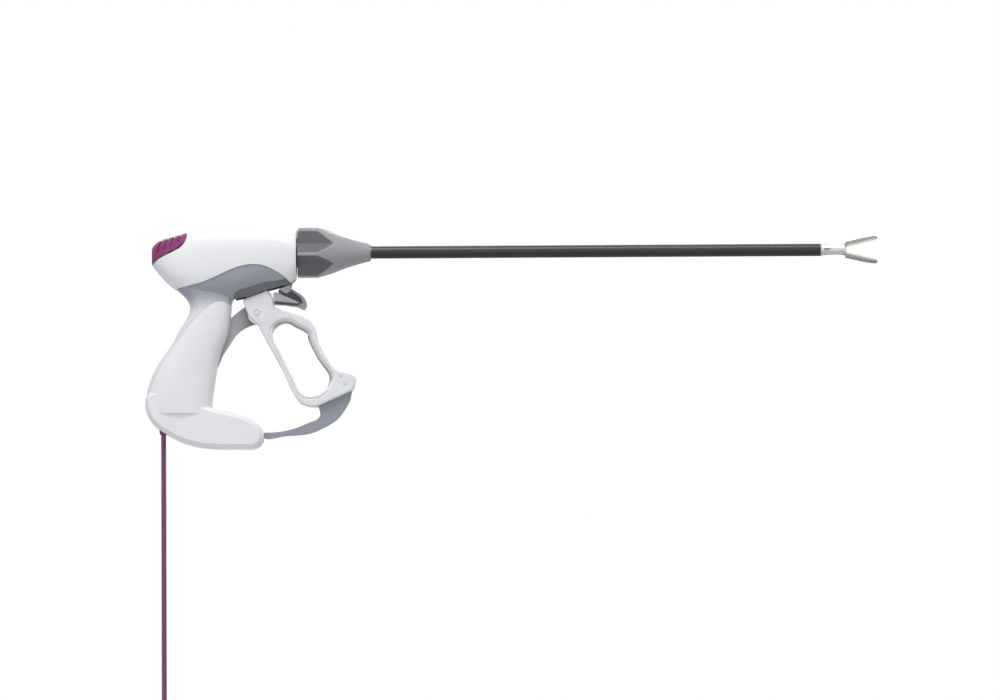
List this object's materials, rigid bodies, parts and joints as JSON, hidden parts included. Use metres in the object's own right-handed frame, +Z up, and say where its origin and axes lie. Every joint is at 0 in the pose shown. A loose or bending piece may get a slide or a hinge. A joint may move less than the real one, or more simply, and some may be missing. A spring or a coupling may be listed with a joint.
{
  "type": "vessel sealing device",
  "caption": "Hand-held vessel sealing device with a squeeze lever, cutting trigger, rotation knob, long insulated shaft, two jaws and a cord.",
  "frame": {"origin": "middle of the palm's hold inside the grip, on the middle plane", "axes": "+X along the shaft towards the jaws, +Z up, +Y to the left of someone looking along the shaft"},
  "size_m": [0.6102, 0.0442, 0.5543],
  "materials": {
    "white_plastic": "satin",
    "grey_plastic": "satin",
    "knob_plastic": "satin",
    "steel": "brushed",
    "black_sleeve": "satin",
    "cream_insulator": "satin",
    "purple_plastic": "satin",
    "purple_cord": "satin",
    "dark_plastic": "satin",
    "board": "satin",
    "brass": "polished"
  },
  "bodies": {
    "handle": {"barrel_cover_left": "white_plastic", "barrel_cover_right": "white_plastic", "grip_panel_left": "white_plastic", "grip_panel_right": "white_plastic", "frame_left": "grey_plastic", "frame_right": "grey_plastic", "lever_bracket": "grey_plastic", "lever_pin": "steel", "rocker_pin": "steel", "knife_lever_pins": "steel", "trigger_pin": "steel", "front_bearing": "knob_plastic", "housing_screws": "steel", "switch": "dark_plastic", "switch_board": "board", "cord_gland": "purple_plastic", "cord_lead": "purple_cord", "cord_coil": "purple_cord", "cord_tie": "dark_plastic", "cord_tail": "purple_cord", "plug": "purple_plastic", "plug_pins": "brass"},
    "lever": {"lever_handle": "white_plastic", "latch_arm": "knob_plastic", "latch_rivets": "steel", "drive_yoke": "steel"},
    "rocker": {"rocker": "steel"},
    "knife_link": {"knife_lever": "steel"},
    "trigger": {"trigger": "knob_plastic"},
    "button": {"thumb_button": "purple_plastic"},
    "rotator": {"rotation_knob": "knob_plastic", "shaft_sleeve": "black_sleeve", "shaft_tube": "steel", "tip_insulator": "cream_insulator", "jaw_clevis": "steel", "jaw_pivot_pin": "steel"},
    "drive": {"drive_collar": "steel", "drive_tube": "steel", "drive_tongue_left": "steel", "drive_tongue_right": "steel", "cam_pin": "steel"},
    "knife": {"knife_carriage": "steel", "knife_cross_pin": "steel", "knife_blade": "steel", "knife_rod": "steel"},
    "upper_jaw": {"upper_jaw": "steel", "upper_insulator": "cream_insulator", "upper_seal_plate": "steel"},
    "lower_jaw": {"lower_jaw": "steel", "lower_insulator": "cream_insulator", "lower_seal_plate": "steel", "seal_stops": "cream_insulator"}
  },
  "joints": [
    {"name": "lever_squeeze", "type": "hinge", "parent": "handle", "child": "lever", "pos_m": [0.054, 0, 0.0304], "axis": [0, 1, 0], "range_deg": [0, 28], "stiffness_Nm_per_rad": 1, "springref_deg": -14.32},
    {"name": "rocker_turn", "type": "hinge", "parent": "handle", "child": "rocker", "pos_m": [0.054, 0, 0.069], "axis": [0, 1, 0], "range_deg": [-23.28, 0]},
    {"name": "trigger_pull", "type": "hinge", "parent": "handle", "child": "trigger", "pos_m": [0.08, 0, 0.058], "axis": [0, 1, 0], "range_deg": [0, 22], "stiffness_Nm_per_rad": 0.3, "springref_deg": -17.19},
    {"name": "knife_lever_turn", "type": "hinge", "parent": "handle", "child": "knife_link", "pos_m": [0.0698, 0, 0.058], "axis": [0, 1, 0], "range_deg": [0, 46]},
    {"name": "knob_spin", "type": "hinge", "parent": "handle", "child": "rotator", "pos_m": [0.0865, 0, 0.079], "axis": [1, 0, 0], "range_deg": [-170, 170]},
    {"name": "drive_slide", "type": "slide", "parent": "rotator", "child": "drive", "axis": [1, 0, 0], "range_m": [-0.004, 0]},
    {"name": "knife_slide", "type": "slide", "parent": "rotator", "child": "knife", "axis": [1, 0, 0], "range_m": [0, 0.0164]},
    {"name": "upper_jaw_hinge", "type": "hinge", "parent": "rotator", "child": "upper_jaw", "pos_m": [0.5172, 0, 0.079], "axis": [0, 1, 0], "range_deg": [0, 13.5]},
    {"name": "lower_jaw_hinge", "type": "hinge", "parent": "rotator", "child": "lower_jaw", "pos_m": [0.5172, 0, 0.079], "axis": [0, 1, 0], "range_deg": [-13.5, 0]},
    {"name": "button_press", "type": "slide", "parent": "handle", "child": "button", "axis": [0.6198, 0, -0.7848], "range_m": [0, 0.001], "stiffness_N_per_m": 600, "springref_m": -0.002}
  ],
  "couplings": [
    {"joint": "rocker_turn", "follows": "lever_squeeze", "ratio": -0.83143},
    {"joint": "drive_slide", "follows": "lever_squeeze", "m_per_rad": -0.0081851},
    {"joint": "upper_jaw_hinge", "follows": "lever_squeeze", "ratio": 0.48214},
    {"joint": "lower_jaw_hinge", "follows": "lever_squeeze", "ratio": -0.48214},
    {"joint": "knife_lever_turn", "follows": "trigger_pull", "ratio": 2.0909},
    {"joint": "knife_slide", "follows": "trigger_pull", "m_per_rad": 0.042711}
  ]
}
